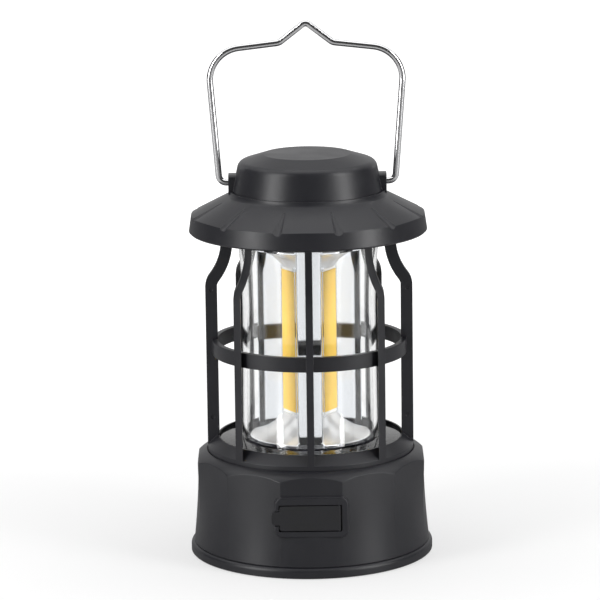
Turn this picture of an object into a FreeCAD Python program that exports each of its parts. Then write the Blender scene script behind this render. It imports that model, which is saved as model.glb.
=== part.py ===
import FreeCAD, Part
import math
import os

os.makedirs("parts", exist_ok=True)
V = FreeCAD.Vector
UP = V(0, 0, 1)
REAR = V(0, 1, 0)
AXIS = V(0, 0, 0)

# Camping lantern, millimetres, +Z up, origin under the middle of the foot.
# The front, with the charging port, faces -Y. A name in _Z is a height above the ground,
# and one in _R a radius.

# Fits and walls
RUN_CLEAR = 0.15       # around a moving pin
SEAM = 0.3             # open joint line between two mouldings
SCREW_CLEAR = 0.25     # around a screw shank
PILOT_CLEAR = 0.03     # around a screw tip in its pilot hole
PILOT_SPARE = 0.4      # pilot hole past the screw tip
POCKET_CLEAR = 0.05    # around a board in its pocket
WALL = 2.2             # moulded wall
BITE = 0.5             # overlap of solids that are joined into one moulding
CUT = 1.0              # reach of a cut past the surface it opens

# Screws
SCREW_R = 1.3
SCREW_HEAD_R = 2.5
SCREW_HEAD_H = 1.7
SCREW_SLOT_L = 3.0
SCREW_SLOT_W = 0.525
SCREW_SLOT_DEEP = 0.85
COVER_SCREW_L = 10.0
COVER_HEAD_SUNK = 0.3
BOARD_SCREW_GRIP = 5.0
SWITCH_SCREW_GRIP = 3.6
CAGE_SCREW_GRIP = 2.8
TOP_SCREW_GRIP = 4.4
REFLECTOR_SCREW_GRIP = 4.8
CROWN_SCREW_GRIP = 6.6

# Guard cage
CAGE_OUT = 13.2            # outer face of the bars, outside the lens
CAGE_DEPTH = 4.35          # radial depth of a bar
BAR_W = 2.6
SIDE_BAR_W = 3.0
DIAGONAL_LEAN = 0.7232     # sideways place of a diagonal bar, as a share of its radius
RING_WALL = 2.5
RING_FOOT_UP = 1.6         # upright foot of the ring, above the shoulder
RING_LIP_UP = 2.8          # above the deck
RING_LIP_T = 1.65
RING_LIP_W = 0.6
BAND_UP = 34.0             # above the deck
BAND_H = 5.4
BAND_T = 2.05
BEND_DOWN = 20.8           # below the top plate
BEND_ANGLE = 38.0
BEND_R1 = 8.0
BEND_R2 = 20.3
CAGE_PLATE_T = 2.6
CAGE_PLATE_HOLE_R = 12.0
LUG_R = 2.7
LUG_IN = 0.35              # inside the bars' inner face
LUG_H = 3.7
MARK_R = 0.7               # round mould marks on the side bars
MARK_DEEP = 0.25
MARK_UP = 9.7              # lower mark above the deck
MARK_DOWN = 21.8           # upper mark below the top plate

# Base housing
FACETS = 12
SHOULDER_Z = 38.9
SHOULDER_W = 3.6           # from the cage to the middle of a facet
SHOULDER_DROP = 8.0
SHOULDER_EASE = 1.8
HOUSING_WAIST_OUT = 0.6    # past the shoulder
HOUSING_FOOT_OUT = 2.0     # past the shoulder
HOUSING_WAIST_Z = 20.0
HOUSING_WALL = 2.5
FACET_ROUND_Z = 11.0       # the facets fade out below this
FACET_WAIST_OUT = 0.45     # facet edge past the middle of a facet at the waist
FACET_SHARP_DOWN = 6.0     # below the shoulder
FACET_BULGE = 0.05
FACET_TAPER = 0.3
CHANNEL_SUNK = 1.7         # seat of the cage ring, below the shoulder
CHANNEL_T = 2.4
DECK_UP = 2.3              # seat of the lens, above the shoulder
DECK_T = 2.6
LEAD_HOLE_R = 6.0
PILLAR_R = 3.4
PILLAR_IN = 1.5            # pillar to cavity wall

# Bottom cover and feet
FOOT_PROUD = 0.25
FOOT_R = 5.0
FOOT_IN = 11.2             # inside the flange
FOOT_SUNK = 0.9
FLANGE_OUT = 1.2           # past the housing
FLANGE_TOP_Z = 4.0
FLANGE_EDGE = 1.5
FLANGE_FOOT_EDGE = 0.2
COVER_FLOOR_Z = 3.0
SPIGOT_IN = 2.3            # inside the housing's foot
SPIGOT_H = 3.2
PILLAR_PAD = 1.2
SADDLE_X = 20.0
SADDLE_W = 4.0
SADDLE_RISE = 6.44

# Charging port on the front facet
BOSS_PROUD = 0.5
BOSS_SIDE = 2.2            # beside the port cover
BOSS_UNDER = 2.6
BOSS_OVER = 3.3
BOSS_CORNER = 3.0
BOSS_EDGE = 0.6
BOSS_L = 7.55
PORT_X = -0.45
PORT_Z = 22.45
FLAP_W = 22.5
FLAP_H = 9.3
FLAP_T = 1.6
FLAP_GAP = 0.35
FLAP_SET_BACK = 0.1
FLAP_CORNER = 1.2
TAB_L = 2.9
TAB_H = 5.0
TAB_T = 1.0
TAB_CORNER = 1.4
TAB_NOTCH = 3.0
FLAP_PIN_R = 0.6
FLAP_PIN_L = 1.0
SOCKET_W = 8.94
SOCKET_H = 3.26
SOCKET_L = 7.3
SOCKET_SKIN = 0.3
SOCKET_BACK = 1.2
SOCKET_IN = 1.3            # behind the pocket floor
TONGUE_W = 6.6
TONGUE_T = 0.7
TONGUE_IN = 0.9
PLUG_L = 1.1
MOUTH_GAP = 0.25

# Power button on the rear facet
BUTTON_Z = 22.0
BUTTON_R = 5.8
BUTTON_PROUD = 0.7
BUTTON_EDGE = 0.6
BUTTON_DISH_R = 24.0
BUTTON_DISH_DEEP = 0.4
BUTTON_FLANGE_R = 7.2
BUTTON_FLANGE_T = 1.2
BUTTON_FLANGE_IN = 1.2     # inside the cavity wall
BUTTON_SEAT_W = 2.4
SWITCH_GAP = 3.5
SWITCH_SIDE = 6.2
SWITCH_DEPTH = 3.6
SWITCH_HOLE = 2.4
SWITCH_BOARD_W = 28.0
SWITCH_BOARD_H = 10.0
SWITCH_BOARD_CORNER = 1.0
SWITCH_POST_X = 11.0
SWITCH_POST_R = 2.6
PLUNGER_R = 1.7
PLUNGER_IN = 1.0

# Electrics
CELL_R = 9.2
CELL_L = 65.2
CELL_GAP = 0.8659          # in front of the rear pillars
CELL_FLOOR = 1.0
BOARD_T = 1.6
BOARD_W = 38.0
BOARD_L = 31.0
BOARD_NOSE_W = 14.0
BOARD_NOSE_L = 5.2
BOARD_NOSE_IN = 1.8        # behind the socket's mouth
BOARD_POST_R = 3.0
BOARD_POST_X = 14.0
BOARD_POST_IN = 25.0       # behind the board's front edge
LEAD_R = 0.7
LEAD_BEND = 3.0
CELL_LEAD_BEND = 2.5
LEAD_X = 1.2
LEAD_TURN_UP = 10.2        # above the board
LEAD_TURN_W = 3.0
LEAD_END_UP = 6.0
CELL_LEAD_UP = 2.0
CELL_LEAD_OVER = 4.12      # above the cell
CELL_LEAD_X = 10.0
CELL_LEAD_IN = 3.0

# Clear lens
LENS_H = 79.4
LENS_FOOT_R = 25.2
LENS_DRAFT = 0.5
LENS_FLARE = 1.1
LENS_WAIST_UP = 50.8
LENS_KNEE = 0.3            # share of the flare at half its height
LENS_WALL = 1.5
LENS_FLANGE_T = 2.0
LENS_RIM_T = 1.0
LENS_FOOT_EDGE = 0.6
LENS_TOP_GAP = 0.4
SEAL_OUT = 2.8             # past the lens
SEAL_W = 2.0
SEAL_T = 1.2

# Reflector and lights
ARMS = 3
REFLECTOR_BASE_T = 2.4
REFLECTOR_GAP = 0.8        # inside the lens
REFLECTOR_TOP_GAP = 4.0    # below the lens top
ARM_TIP_IN = 2.0           # inside the trough lips
ARM_TIP_W = 8.8
ARM_TIP_EDGE = 0.8
LIGHT_INRADIUS = 8.9
LIGHT_FACE_W = 10.5
LIGHT_UP = 12.3            # above the deck
LIGHT_DOWN = 9.6           # below the reflector's top
LIGHT_BOARD_W = 9.9
LIGHT_BOARD_T = 1.0
LIGHT_BOARD_OVER = 1.0
STRIP_W = 9.3
STRIP_T = 0.4
STRIP_END = 0.2
POCKET_OUT = 1.5
LIP_H = 1.0
LIP_EDGE = 0.5
LIP_SPLAY = 1.5            # how far a trough lip draws back beside an arm
TROUGH_IN = 7.2            # middle of the trough's curve, inside the lip
TROUGH_SAG = 2.6
REFLECTOR_BORE_R = 3.6
REFLECTOR_SCREW_IN = 6.4   # inside the arm tips

# Roof
RIM_OUT = 5.6              # outside the cage
RIM_DRAFT = 1.0
RIM_H = 6.7
RIM_EDGE = 0.5
RIM_BEVEL = 0.3
ROOF_RISE = 7.0            # from the rim to the crown's seat
ROOF_SKIN = 2.53
LOBE_DROP = 4.0
CREASE_SUNK = 0.8
GROOVE_R = 2.6             # crease groove at the rim
GROOVE_DEEP = 0.8
GROOVE_END_R = 0.5
GROOVE_END_DEEP = 0.15
GROOVE_END_OUT = 4.0       # outside the crown's seat
SEAT_GAP = 0.4
SEAT_SUNK = 0.5
COLLAR_RISE = 1.7
COLLAR_W = 3.0
COLLAR_TOP_W = 0.25
COLLAR_DIP = 1.7
SKIRT_T = 1.8
SKIRT_DOWN = 1.5
CEILING_T = 2.4
CEILING_BORE_R = 7.0
TOP_SCREW_PITCH_R = 20.0
TOP_BOSS_R = 3.0
TOP_BOSS_H = 5.5
HEAD_GAP = 0.6

# Crown, ears and bail
CROWN_R = 28.0
CROWN_DRAFT = 2.6
CROWN_H = 12.15            # seat to the upper edge
CROWN_EDGE = 3.0
CROWN_BEVEL_W = 9.2
CROWN_BEVEL_H = 2.9
CROWN_DOME = 0.3
CROWN_BOSS_IN = 11.0
CROWN_BOSS_R = 3.2
EAR_OUT = 1.1              # past the crown's foot
EAR_W = 8.0
EAR_H = 7.6
EAR_EDGE = 1.6
EAR_LIFT = 0.15
PIVOT_UP = 4.5             # above the crown's seat
WIRE_R = 1.2
BAIL_END_IN = 5.7          # inside the ear's face
BAIL_FOOT_OUT = 3.3        # outside the ear's face
BAIL_HAND_OUT = 7.0
BAIL_HAND_UP = 48.4        # above the pivot
BAIL_PEAK_W = 9.8
BAIL_PEAK_FOOT_UP = 51.45
BAIL_PEAK_UP = 59.0
BAIL_FOOT_BEND = 2.8
BAIL_HAND_BEND = 12.0
BAIL_SHOULDER_BEND = 3.0
BAIL_PEAK_BEND = 2.0

# Heights that follow
CHANNEL_Z = SHOULDER_Z - CHANNEL_SUNK
CHANNEL_UNDER_Z = CHANNEL_Z - CHANNEL_T
DECK_Z = SHOULDER_Z + DECK_UP
DECK_UNDER_Z = DECK_Z - DECK_T
RING_LIP_Z = DECK_Z + RING_LIP_UP
BAND_Z0 = DECK_Z + BAND_UP
BAND_Z1 = BAND_Z0 + BAND_H
LENS_TOP_Z = DECK_Z + LENS_H
LENS_WAIST_Z = DECK_Z + LENS_WAIST_UP
CAGE_PLATE_Z = LENS_TOP_Z + LENS_TOP_GAP
CAGE_TOP_Z = CAGE_PLATE_Z + CAGE_PLATE_T
BEND_Z = CAGE_PLATE_Z - BEND_DOWN
REFLECTOR_Z = DECK_Z + REFLECTOR_BASE_T
REFLECTOR_TOP_Z = LENS_TOP_Z - REFLECTOR_TOP_GAP
LIP_Z = REFLECTOR_Z + LIP_H
LIGHT_Z0 = DECK_Z + LIGHT_UP
LIGHT_Z1 = REFLECTOR_TOP_Z - LIGHT_DOWN
RIM_Z = CAGE_PLATE_Z
RIM_TOP_Z = RIM_Z + RIM_H
SEAT_Z = RIM_TOP_Z + ROOF_RISE
COLLAR_Z = SEAT_Z + COLLAR_RISE
CEILING_Z = CAGE_TOP_Z
CROWN_EDGE_Z = SEAT_Z + CROWN_H
CROWN_FLAT_Z = CROWN_EDGE_Z + CROWN_BEVEL_H
CROWN_TOP_Z = CROWN_FLAT_Z + CROWN_DOME
EAR_TOP_Z = SEAT_Z + EAR_H
PIVOT_Z = SEAT_Z + PIVOT_UP
SPIGOT_TOP_Z = FLANGE_TOP_Z + SPIGOT_H
COVER_HEAD_Z = FOOT_PROUD + SCREW_HEAD_H + COVER_HEAD_SUNK
BOARD_TOP_Z = PORT_Z - SOCKET_H / 2
CELL_Z = COVER_FLOOR_Z + CELL_FLOOR + CELL_R

# Radii and depths that follow
CAGE_R = LENS_FOOT_R + CAGE_OUT
BAR_IN_R = CAGE_R - CAGE_DEPTH
RING_IN_R = CAGE_R - RING_WALL
BAND_R = BAR_IN_R + BAND_T
HOUSING_TOP_R = CAGE_R + SHOULDER_W
HOUSING_WAIST_R = HOUSING_TOP_R + HOUSING_WAIST_OUT
HOUSING_FOOT_R = HOUSING_TOP_R + HOUSING_FOOT_OUT
CAVITY_R = HOUSING_TOP_R - HOUSING_WALL
FLANGE_R = HOUSING_FOOT_R + FLANGE_OUT
PILLAR_PITCH_R = CAVITY_R - PILLAR_R - PILLAR_IN
CELL_Y = PILLAR_PITCH_R * math.sqrt(0.5) - PILLAR_R - CELL_GAP - CELL_R
SPIGOT_R = HOUSING_FOOT_R - SPIGOT_IN
LENS_WAIST_R = LENS_FOOT_R - LENS_DRAFT
LENS_TOP_R = LENS_FOOT_R + LENS_FLARE
SEAL_R = LENS_FOOT_R + SEAL_OUT
REFLECTOR_R = LENS_WAIST_R - LENS_WALL - REFLECTOR_GAP
ARM_TIP_R = REFLECTOR_R - ARM_TIP_IN
RIM_R = CAGE_R + RIM_OUT
RIM_TOP_R = RIM_R - RIM_DRAFT
SEAT_R = CROWN_R + SEAT_GAP
CROWN_EDGE_R = CROWN_R - CROWN_DRAFT
CROWN_FLAT_R = CROWN_EDGE_R - CROWN_BEVEL_W
EAR_X = CROWN_R + EAR_OUT
BOSS_Y = HOUSING_WAIST_R + BOSS_PROUD
FLAP_FACE_Y = -(BOSS_Y - FLAP_SET_BACK)
FLAP_BACK_Y = FLAP_FACE_Y + FLAP_T
FLAP_AXIS_X = PORT_X + FLAP_W / 2 - FLAP_T / 2
FLAP_AXIS_Y = FLAP_FACE_Y + FLAP_T / 2
POCKET_FLOOR_Y = FLAP_BACK_Y + FLAP_SET_BACK
SOCKET_Y = POCKET_FLOOR_Y + SOCKET_IN
BOARD_NOSE_Y = SOCKET_Y + BOARD_NOSE_IN
BOARD_Y0 = BOARD_NOSE_Y + BOARD_NOSE_L
BOARD_Y1 = BOARD_Y0 + BOARD_L
BUTTON_Y = HOUSING_WAIST_R + BUTTON_PROUD
BUTTON_SEAT_Y = CAVITY_R - BUTTON_FLANGE_IN
BUTTON_BACK_Y = BUTTON_SEAT_Y - BUTTON_FLANGE_T
SWITCH_FACE_Y = BUTTON_BACK_Y - SWITCH_GAP
SWITCH_BOARD_Y = SWITCH_FACE_Y - SWITCH_DEPTH
LIGHT_BACK = LIGHT_INRADIUS - LIGHT_BOARD_T - STRIP_T


def box(x0, x1, y0, y1, z0, z1):
    return Part.makeBox(x1 - x0, y1 - y0, z1 - z0, V(x0, y0, z0))


def rod(r, z0, z1, x=0.0, y=0.0):
    return Part.makeCylinder(r, z1 - z0, V(x, y, z0))


def rod_y(r, y0, y1, x, z):
    return Part.makeCylinder(r, y1 - y0, V(x, y0, z), REAR)


def tube(r_in, r_out, z0, z1):
    return rod(r_out, z0, z1).cut(rod(r_in, z0, z1))


def outline(start, *steps):
    """Closed face in the XZ plane. A step is (x, z), or ((x, z), (x, z)) for an arc through a point."""
    edges = []
    at = V(start[0], 0, start[1])
    first = at
    for step in steps:
        if isinstance(step[0], tuple):
            mid = V(step[0][0], 0, step[0][1])
            end = V(step[1][0], 0, step[1][1])
            edges.append(Part.Arc(at, mid, end).toShape())
        else:
            end = V(step[0], 0, step[1])
            edges.append(Part.makeLine(at, end))
        at = end
    edges.append(Part.makeLine(at, first))
    return Part.Face(Part.Wire(edges))


def turned(start, *steps):
    return outline(start, *steps).revolve(AXIS, UP, 360)


def turn(shape, degrees):
    copy = shape.copy()
    copy.rotate(AXIS, UP, degrees)
    return copy


def around(shape, count, first=0.0):
    return [turn(shape, first + i * 360.0 / count) for i in range(count)]


def rounded_slab(x, z, w, h, corner, y0, y1):
    """Upright rounded rectangle, w wide along X and h high, from y0 to y1."""
    slab = box(x - w / 2, x + w / 2, y0, y1, z - h / 2, z + h / 2)
    along_y = [e for e in slab.Edges if abs(e.tangentAt(e.FirstParameter).y) > 0.9]
    return slab.makeFillet(corner, along_y)


def lobed_wire(z, crease_r, middle_r):
    """Ring of arcs that meet at the facet edges."""
    half = math.pi / FACETS
    edges = []
    for i in range(FACETS):
        a = 2 * half * i - math.pi / 2
        p = [V(r * math.cos(a + t), r * math.sin(a + t), z)
             for r, t in ((crease_r, -half), (middle_r, 0.0), (crease_r, half))]
        edges.append(Part.Arc(p[0], p[1], p[2]).toShape())
    return Part.Wire(edges)


def bend(before, corner, after, radius):
    """Start, middle and end of the arc that rounds a corner."""
    back = (before - corner).normalize()
    ahead = (after - corner).normalize()
    half = back.getAngle(ahead) / 2
    run = radius / math.tan(half)
    middle = (back + ahead).normalize() * (radius / math.sin(half) - radius)
    return corner + back * run, corner + middle, corner + ahead * run


def rounded_path(points, radii):
    """Straight runs joined by tangent bends."""
    edges = []
    at = points[0]
    for i, radius in enumerate(radii):
        start, middle, end = bend(points[i], points[i + 1], points[i + 2], radius)
        edges.append(Part.makeLine(at, start))
        edges.append(Part.Arc(start, middle, end).toShape())
        at = end
    edges.append(Part.makeLine(at, points[-1]))
    return Part.Wire(edges)


def wire_rod(points, radii, r):
    path = rounded_path(points, radii)
    lead_in = (points[1] - points[0]).normalize()
    ring = Part.Wire(Part.makeCircle(r, points[0], lead_in))
    return path.makePipeShell([ring], True, False)


def screw(length, tip, up):
    """Pan-head screw. The head sits under the clamped face, the shank ends at tip."""
    under = tip - up * length
    foot = under - up * SCREW_HEAD_H
    head = Part.makeCylinder(SCREW_HEAD_R, SCREW_HEAD_H, foot, up)
    shank = Part.makeCylinder(SCREW_R, length, under, up)
    slot = Part.makeBox(SCREW_SLOT_L, SCREW_SLOT_W, SCREW_SLOT_DEEP)
    slot.translate(V(-SCREW_SLOT_L / 2, -SCREW_SLOT_W / 2, 0))
    cross = slot.fuse(turn(slot, 90))
    cross.Placement = FreeCAD.Placement(foot, FreeCAD.Rotation(UP, up))
    return head.fuse(shank).cut(cross)


def pilot(length, tip, up):
    """Pilot hole for the shank that ends at tip, with a little depth to spare."""
    return Part.makeCylinder(SCREW_R + PILOT_CLEAR, length + PILOT_SPARE, tip - up * length, up)


def screw_hole(foot, length, up):
    """Clear hole through a clamped wall, open past both of its faces."""
    return Part.makeCylinder(SCREW_R + SCREW_CLEAR, length + 2 * CUT, foot - up * CUT, up)


def polar(r, degrees, z=0.0):
    """Point at an angle counted from the front, turning towards +X."""
    a = math.radians(degrees)
    return V(r * math.sin(a), -r * math.cos(a), z)


def spots(r, count, first):
    return [polar(r, first + i * 360.0 / count) for i in range(count)]


def lifted(points, z):
    return [V(p.x, p.y, z) for p in points]


def save(name, *shapes):
    solids = []
    for shape in shapes:
        solids.extend(shape.removeSplitter().Solids)
    whole = solids[0] if len(solids) == 1 else Part.makeCompound(solids)
    whole.exportStep("parts/%s.step" % name)


def bend_points(offset):
    """Five points along the inward bend of the cage wall, offset inwards from its outer face."""
    turn_in = math.radians(BEND_ANGLE)
    c1 = (CAGE_R - BEND_R1, BEND_Z)
    reach = BEND_R1 + BEND_R2
    c2 = (c1[0] + reach * math.cos(turn_in), c1[1] + reach * math.sin(turn_in))
    r1 = BEND_R1 - offset
    r2 = BEND_R2 + offset
    first = [(c1[0] + r1 * math.cos(a), c1[1] + r1 * math.sin(a)) for a in (0, turn_in / 2, turn_in)]
    last = [(c2[0] - r2 * math.cos(a), c2[1] - r2 * math.sin(a)) for a in (turn_in / 2, 0)]
    return first + last


CAGE_NECK_R = bend_points(0)[4][0]
CAGE_NECK_IN_R = bend_points(CAGE_DEPTH)[4][0]
SKIRT_R = CAGE_NECK_R + SEAM

PILLARS = spots(PILLAR_PITCH_R, 4, 45)
LUGS = spots(BAR_IN_R - LUG_IN, 4, 0)
FEET = spots(FLANGE_R - FOOT_IN, 4, 0)
REFLECTOR_SCREWS = spots(ARM_TIP_R - REFLECTOR_SCREW_IN, ARMS, 0)
TOP_SCREWS = spots(TOP_SCREW_PITCH_R, 4, 45)
CROWN_SCREWS = spots(CROWN_R - CROWN_BOSS_IN, 3, 0)
POSTS = [V(side * BOARD_POST_X, BOARD_Y0 + BOARD_POST_IN, 0) for side in (-1, 1)]
SWITCH_POSTS = [V(side * SWITCH_POST_X, 0, BUTTON_Z) for side in (-1, 1)]

COVER_TIPS = lifted(PILLARS, COVER_HEAD_Z + COVER_SCREW_L)
BOARD_TIPS = lifted(POSTS, BOARD_TOP_Z + BOARD_SCREW_GRIP)
SWITCH_TIPS = [V(p.x, SWITCH_BOARD_Y + SWITCH_SCREW_GRIP, p.z) for p in SWITCH_POSTS]
LUG_TIPS = lifted(LUGS, CHANNEL_Z + CAGE_SCREW_GRIP)
TOP_TIPS = lifted(TOP_SCREWS, CEILING_Z + TOP_SCREW_GRIP)
REFLECTOR_TIPS = lifted(REFLECTOR_SCREWS, REFLECTOR_Z + REFLECTOR_SCREW_GRIP)
CROWN_TIPS = lifted(CROWN_SCREWS, SEAT_Z + CROWN_SCREW_GRIP)


def battery_cell():
    return Part.makeCylinder(CELL_R, CELL_L, V(-CELL_L / 2, CELL_Y, CELL_Z), V(1, 0, 0))


def make_bottom_cover():
    top = FLANGE_TOP_Z - FLANGE_EDGE
    ease = FLANGE_EDGE * (1 - math.sqrt(0.5))
    body = turned(
        (0, FOOT_PROUD), (FLANGE_R - FLANGE_FOOT_EDGE, FOOT_PROUD),
        (FLANGE_R, FOOT_PROUD + FLANGE_FOOT_EDGE),
        (FLANGE_R, top), ((FLANGE_R - ease, FLANGE_TOP_Z - ease), (FLANGE_R - FLANGE_EDGE, FLANGE_TOP_Z)),
        (SPIGOT_R, FLANGE_TOP_Z), (SPIGOT_R, SPIGOT_TOP_Z), (SPIGOT_R - WALL, SPIGOT_TOP_Z),
        (SPIGOT_R - WALL, COVER_FLOOR_Z), (0, COVER_FLOOR_Z))
    saddle_top = CELL_Z - CELL_R + SADDLE_RISE
    for x in (-SADDLE_X, SADDLE_X):
        body = body.fuse(box(x - SADDLE_W / 2, x + SADDLE_W / 2, CELL_Y - CELL_R, CELL_Y + CELL_R,
                             COVER_FLOOR_Z - BITE, saddle_top))
    body = body.cut(battery_cell())
    for p in PILLARS:
        body = body.fuse(rod(PILLAR_R + PILLAR_PAD, COVER_FLOOR_Z - BITE, FLANGE_TOP_Z, p.x, p.y))
        body = body.cut(rod(SCREW_HEAD_R + SEAM, FOOT_PROUD - CUT, COVER_HEAD_Z, p.x, p.y))
        body = body.cut(screw_hole(V(p.x, p.y, FOOT_PROUD), FLANGE_TOP_Z - FOOT_PROUD, UP))
    for p in FEET:
        body = body.cut(rod(FOOT_R, FOOT_PROUD - CUT, FOOT_PROUD + FOOT_SUNK, p.x, p.y))
    return body


def housing_skin():
    round_r = (HOUSING_FOOT_R + HOUSING_WAIST_R) / 2
    edge_r = HOUSING_TOP_R / math.cos(math.pi / FACETS) - FACET_BULGE
    skin = Part.makeLoft([
        lobed_wire(FLANGE_TOP_Z, HOUSING_FOOT_R, HOUSING_FOOT_R),
        lobed_wire(FACET_ROUND_Z, round_r, round_r),
        lobed_wire(HOUSING_WAIST_Z, HOUSING_WAIST_R + FACET_WAIST_OUT, HOUSING_WAIST_R),
        lobed_wire(SHOULDER_Z - FACET_SHARP_DOWN, edge_r, HOUSING_TOP_R),
        lobed_wire(DECK_Z + DECK_UP, edge_r - FACET_TAPER, HOUSING_TOP_R - FACET_TAPER)], True, False)
    shoulder = turned(
        (0, FLANGE_TOP_Z), (HOUSING_FOOT_R - SEAM, FLANGE_TOP_Z), (FLANGE_R, FLANGE_TOP_Z + FLANGE_OUT),
        (FLANGE_R, SHOULDER_Z - SHOULDER_DROP),
        ((HOUSING_TOP_R, SHOULDER_Z - SHOULDER_EASE), (CAGE_R + SEAM, SHOULDER_Z)), (0, SHOULDER_Z))
    return skin.common(shoulder)


def make_base_housing():
    body = housing_skin()
    boss = rounded_slab(0, PORT_Z + (BOSS_OVER - BOSS_UNDER) / 2, FLAP_W + 2 * BOSS_SIDE,
                        FLAP_H + BOSS_UNDER + BOSS_OVER, BOSS_CORNER, -BOSS_Y, -BOSS_Y + BOSS_L)
    boss = boss.makeFillet(BOSS_EDGE, [e for e in boss.Edges if e.BoundBox.YMax < -BOSS_Y + BOSS_EDGE])
    deck_r = RING_IN_R - SEAM / 2
    body = body.fuse(boss).cut(tube(deck_r, CAGE_R + SEAM, CHANNEL_Z, SHOULDER_Z + CUT))
    body = body.fuse(rod(deck_r, CHANNEL_Z, DECK_Z))
    spigot_hole = SPIGOT_R + RUN_CLEAR
    corner = CHANNEL_T
    cavity = turned(
        (0, FLANGE_TOP_Z - CUT), (spigot_hole, FLANGE_TOP_Z - CUT), (spigot_hole, SPIGOT_TOP_Z + SEAM),
        (CAVITY_R, SPIGOT_TOP_Z + SEAM + spigot_hole - CAVITY_R), (CAVITY_R, CHANNEL_UNDER_Z - corner),
        (CAVITY_R - corner, CHANNEL_UNDER_Z), (deck_r - DECK_T, CHANNEL_UNDER_Z),
        (deck_r - DECK_T - (DECK_UNDER_Z - CHANNEL_UNDER_Z), DECK_UNDER_Z), (0, DECK_UNDER_Z))
    inner = [rod_y(BUTTON_FLANGE_R + BUTTON_SEAT_W, BUTTON_SEAT_Y, CAVITY_R + BITE, 0, BUTTON_Z)]
    inner += [rod(PILLAR_R, FLANGE_TOP_Z, CHANNEL_UNDER_Z + BITE, p.x, p.y) for p in PILLARS]
    inner += [rod(BOARD_POST_R, BOARD_TOP_Z, DECK_UNDER_Z + BITE, p.x, p.y) for p in POSTS]
    inner += [rod_y(SWITCH_POST_R, SWITCH_BOARD_Y, CAVITY_R, p.x, p.z) for p in SWITCH_POSTS]
    body = body.cut(cavity).fuse(inner)
    gap = 2 * FLAP_GAP
    open_y = -BOSS_Y - CUT
    pocket = rounded_slab(PORT_X, PORT_Z, FLAP_W + gap, FLAP_H + gap, FLAP_CORNER / 2, open_y, POCKET_FLOOR_Y)
    mouth = rounded_slab(PORT_X, PORT_Z, SOCKET_W + 2 * MOUTH_GAP, SOCKET_H + 2 * MOUTH_GAP, SOCKET_H / 2,
                         open_y, SOCKET_Y + SOCKET_L / 2)
    tab_x = PORT_X - FLAP_W / 2
    tab_h = TAB_H / 2 + FLAP_GAP
    notch = box(tab_x - TAB_L - TAB_NOTCH, tab_x + FLAP_CORNER, open_y, FLAP_FACE_Y + TAB_T + FLAP_SET_BACK,
                PORT_Z - tab_h, PORT_Z + tab_h)
    pin_h = FLAP_H / 2 + FLAP_PIN_L + RUN_CLEAR
    cuts = [pocket, mouth, notch]
    cuts.append(rod(FLAP_PIN_R + RUN_CLEAR, PORT_Z - pin_h, PORT_Z + pin_h, FLAP_AXIS_X, FLAP_AXIS_Y))
    cuts.append(rod_y(BUTTON_R + RUN_CLEAR, BUTTON_SEAT_Y - CUT, BUTTON_Y + CUT, 0, BUTTON_Z))
    cuts.append(rod(LEAD_HOLE_R, DECK_UNDER_Z - CUT, DECK_Z + CUT))
    cuts.append(tube(SEAL_R - SEAL_W / 2, SEAL_R + SEAL_W / 2, DECK_Z - SEAL_T, DECK_Z + CUT))
    cuts += [rod(LUG_R + SEAM, CHANNEL_Z, DECK_Z + CUT, p.x, p.y) for p in LUGS]
    cuts += [screw_hole(V(p.x, p.y, CHANNEL_UNDER_Z), CHANNEL_T, UP) for p in LUGS]
    cuts += [screw_hole(V(p.x, p.y, DECK_UNDER_Z), DECK_T, UP) for p in REFLECTOR_SCREWS]
    cuts += [pilot(COVER_SCREW_L, tip, UP) for tip in COVER_TIPS]
    cuts += [pilot(BOARD_SCREW_GRIP + CUT, tip, UP) for tip in BOARD_TIPS]
    cuts += [pilot(SWITCH_SCREW_GRIP + CUT, tip, REAR) for tip in SWITCH_TIPS]
    return body.cut(cuts)


def make_port_cover():
    plate = rounded_slab(PORT_X, PORT_Z, FLAP_W, FLAP_H, FLAP_CORNER, FLAP_FACE_Y, FLAP_BACK_Y)
    z0 = PORT_Z - FLAP_H / 2
    z1 = PORT_Z + FLAP_H / 2
    edge = box(FLAP_AXIS_X, FLAP_AXIS_X + FLAP_T, FLAP_FACE_Y - CUT, FLAP_BACK_Y + CUT, z0 - CUT, z1 + CUT)
    plate = plate.cut(edge)
    bead = rod(FLAP_T / 2, z0, z1, FLAP_AXIS_X, FLAP_AXIS_Y)
    pins = rod(FLAP_PIN_R, z0 - FLAP_PIN_L, z1 + FLAP_PIN_L, FLAP_AXIS_X, FLAP_AXIS_Y)
    tab_w = TAB_L + 2 * TAB_CORNER
    tab_x = PORT_X - FLAP_W / 2 - TAB_L + tab_w / 2
    tab = rounded_slab(tab_x, PORT_Z, tab_w, TAB_H, TAB_CORNER, FLAP_FACE_Y, FLAP_FACE_Y + TAB_T)
    plug = rounded_slab(PORT_X, PORT_Z, SOCKET_W, SOCKET_H, SOCKET_H / 2 - POCKET_CLEAR,
                        FLAP_BACK_Y - BITE, FLAP_BACK_Y + PLUG_L)
    return plate.fuse([bead, pins, tab, plug])


def make_usb_socket():
    y1 = SOCKET_Y + SOCKET_L
    corner = SOCKET_H / 2 - POCKET_CLEAR
    skin = 2 * SOCKET_SKIN
    shell = rounded_slab(PORT_X, PORT_Z, SOCKET_W, SOCKET_H, corner, SOCKET_Y, y1)
    hollow = rounded_slab(PORT_X, PORT_Z, SOCKET_W - skin, SOCKET_H - skin, corner - SOCKET_SKIN,
                          SOCKET_Y - CUT, y1 - SOCKET_BACK)
    tongue = box(PORT_X - TONGUE_W / 2, PORT_X + TONGUE_W / 2, SOCKET_Y + TONGUE_IN, y1 - SOCKET_BACK / 2,
                 PORT_Z - TONGUE_T / 2, PORT_Z + TONGUE_T / 2)
    return shell.cut(hollow).fuse(tongue)


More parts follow.
